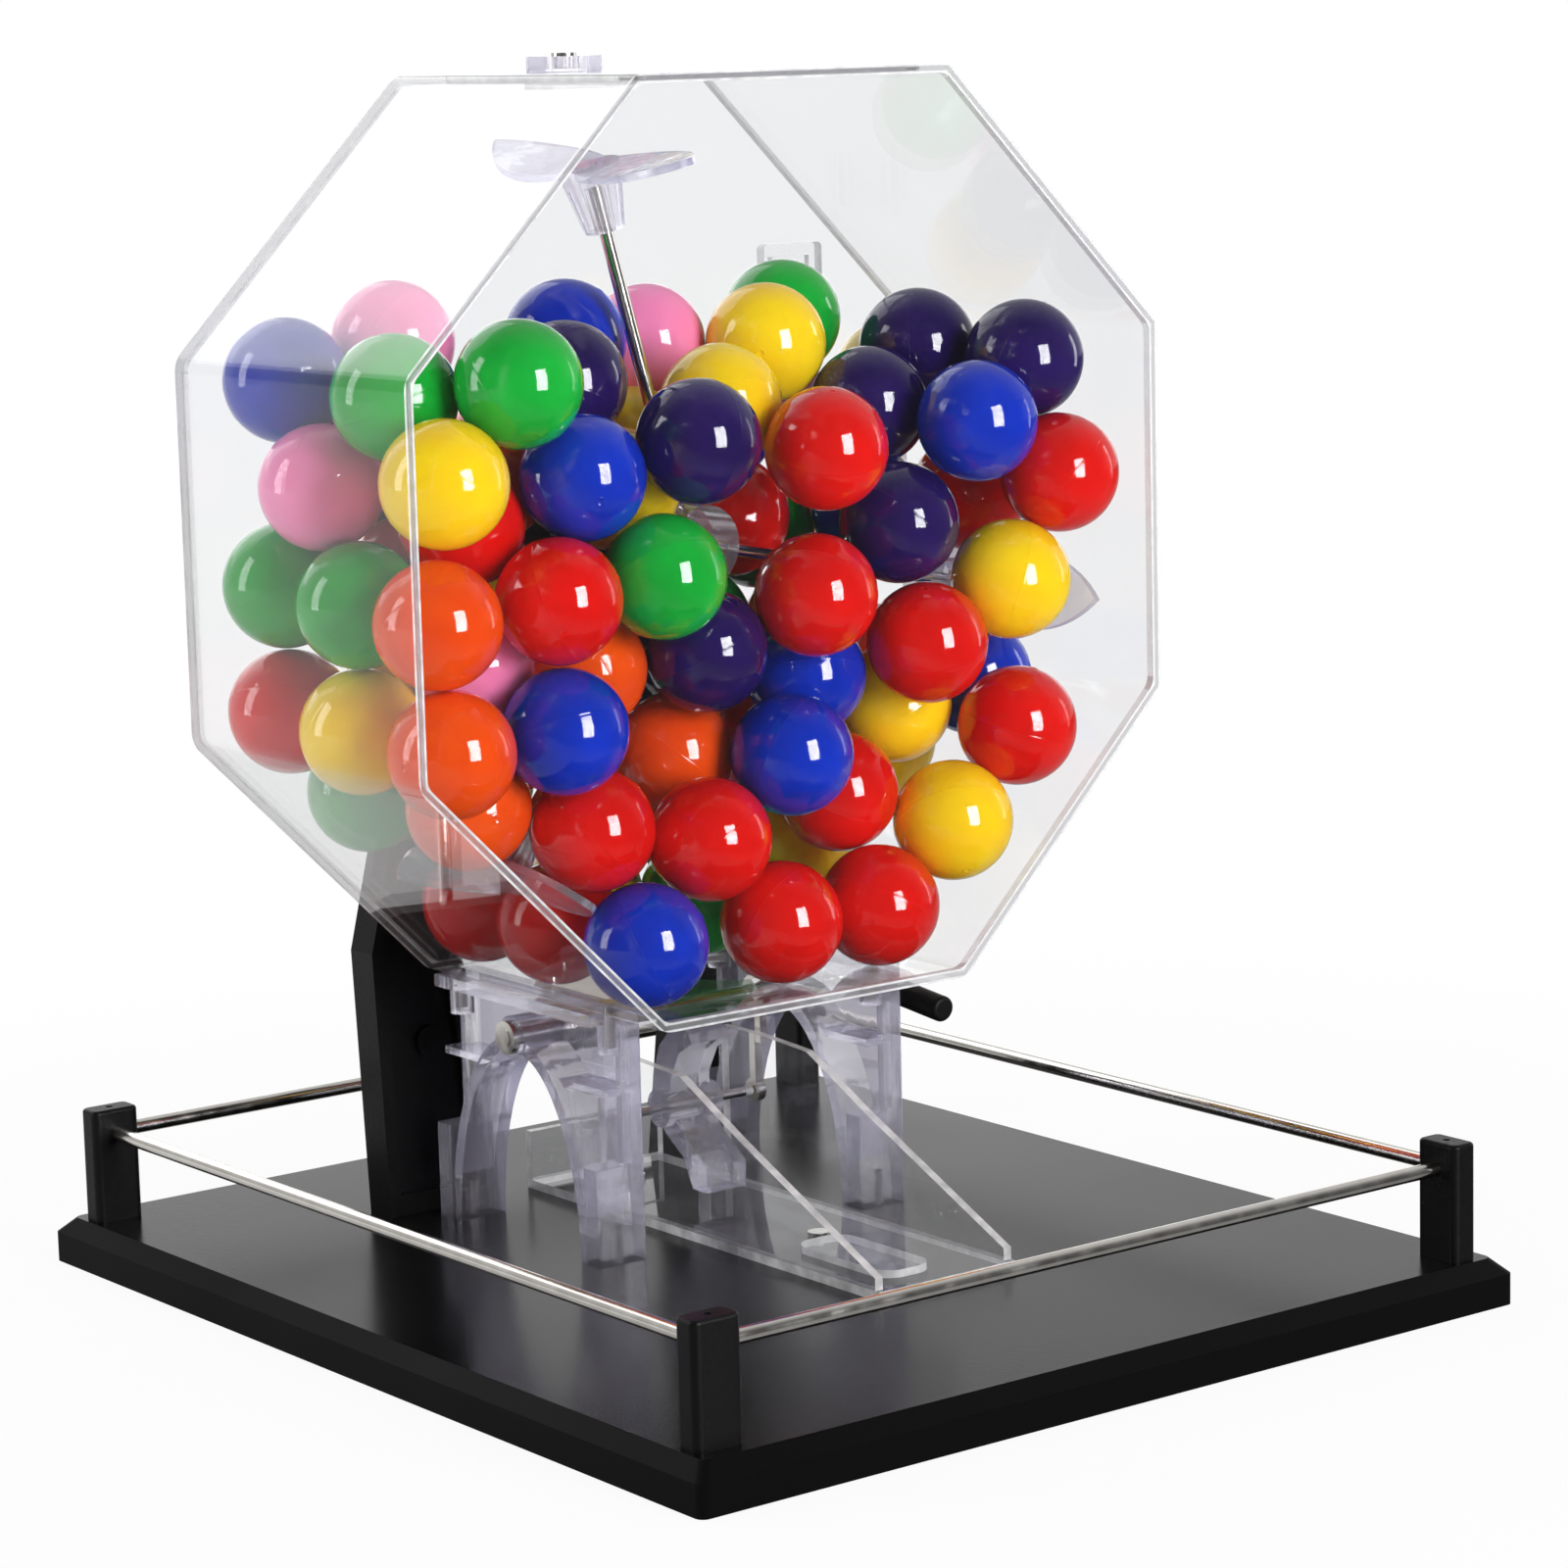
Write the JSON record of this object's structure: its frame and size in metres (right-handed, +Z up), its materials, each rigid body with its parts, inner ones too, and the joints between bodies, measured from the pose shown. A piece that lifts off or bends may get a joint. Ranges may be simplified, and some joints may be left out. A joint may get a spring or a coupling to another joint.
{
  "type": "raffle drum with crank",
  "caption": "Clear octagonal tank of coloured balls on a black board, with a crank-turned stirrer, a chute with a ball gate, a release lever and a low rail on corner posts.",
  "frame": {"origin": "middle of the board's underside", "axes": "+X to the right seen from the front, -Y towards the front where the chute opens, +Z up"},
  "size_m": [0.32, 0.366, 0.3975],
  "materials": {
    "board": "black laminate, satin",
    "steel": "polished",
    "clear_acrylic": "clear polished acrylic sheet",
    "lilac_clear": "clear moulded plastic with a lilac tint",
    "black_plastic": "satin",
    "bush_plastic": "satin",
    "black_rubber": "satin",
    "ball_blue": "gloss",
    "ball_pink": "gloss",
    "ball_green": "gloss",
    "ball_yellow": "gloss",
    "ball_purple": "gloss",
    "ball_red": "gloss",
    "ball_orange": "gloss"
  },
  "bodies": {
    "housing": {"axle_bush": "bush_plastic", "back_bracket": "clear_acrylic", "balls_blue": "ball_blue", "balls_green": "ball_green", "balls_orange": "ball_orange", "balls_pink": "ball_pink", "balls_purple": "ball_purple", "balls_red": "ball_red", "balls_yellow": "ball_yellow", "base_board": "board", "board_screws": "steel", "chute_back": "clear_acrylic", "chute_base": "clear_acrylic", "chute_pad": "clear_acrylic", "chute_screws": "steel", "chute_side_left": "clear_acrylic", "chute_side_right": "clear_acrylic", "lever_spring": "steel", "lid_pins": "steel", "lid_rest": "clear_acrylic", "post_bl_a": "black_plastic", "post_bl_b": "black_plastic", "post_br_a": "black_plastic", "post_br_b": "black_plastic", "post_fl_a": "black_plastic", "post_fl_b": "black_plastic", "post_fr_a": "black_plastic", "post_fr_b": "black_plastic", "rail_left": "steel", "rail_right": "steel", "rails_across": "steel", "stand_head": "black_plastic", "stand_leg_left": "black_plastic", "stand_leg_right": "black_plastic", "stand_pins": "steel", "support_left": "lilac_clear", "support_right": "lilac_clear", "tank_back": "clear_acrylic", "tank_band": "clear_acrylic", "tank_front": "clear_acrylic", "tank_screws": "steel"},
    "stirrer": {"stirrer_axle": "steel", "stirrer_boss": "lilac_clear", "stirrer_arms": "steel", "paddles": "lilac_clear", "crank_arm": "steel", "crank_pin": "steel", "crank_nut": "steel"},
    "crank_handle": {"crank_grip": "black_plastic"},
    "lever": {"lever_rod": "steel", "lever_grip": "black_rubber", "lever_collars": "steel", "lever_finger": "steel"},
    "gate": {"gate_lever": "lilac_clear", "gate_rod": "steel", "gate_crank": "steel"},
    "lid_leaf": {"lid": "clear_acrylic", "lid_knob": "clear_acrylic", "lid_insert": "steel"}
  },
  "joints": [
    {"name": "stirrer_turn", "type": "hinge", "parent": "housing", "child": "stirrer", "pos_m": [0, 0.107, 0.24], "axis": [0, 1, 0], "continuous": true, "deforming": ["balls_blue", "balls_pink", "balls_green", "balls_yellow", "balls_purple", "balls_red", "balls_orange"]},
    {"name": "handle_spin", "type": "hinge", "parent": "stirrer", "child": "crank_handle", "pos_m": [0, 0.148, 0.165], "axis": [0, 1, 0], "continuous": true},
    {"name": "release_lever", "type": "hinge", "parent": "housing", "child": "lever", "pos_m": [0.053, 0.0482, 0.0835], "axis": [1, 0, 0], "range_deg": [0, 30], "stiffness_Nm_per_rad": 0.02, "springref_deg": -28.65},
    {"name": "ball_gate", "type": "hinge", "parent": "housing", "child": "gate", "pos_m": [0.0075, 0.05, 0.0495], "axis": [1, 0, 0], "range_deg": [-28, 0]},
    {"name": "lid_hinge", "type": "hinge", "parent": "housing", "child": "lid_leaf", "pos_m": [0, -0.022, 0.39], "axis": [1, 0, 0], "range_deg": [0, 105]}
  ],
  "couplings": [
    {"joint": "ball_gate", "follows": "release_lever", "ratio": -0.9}
  ]
}
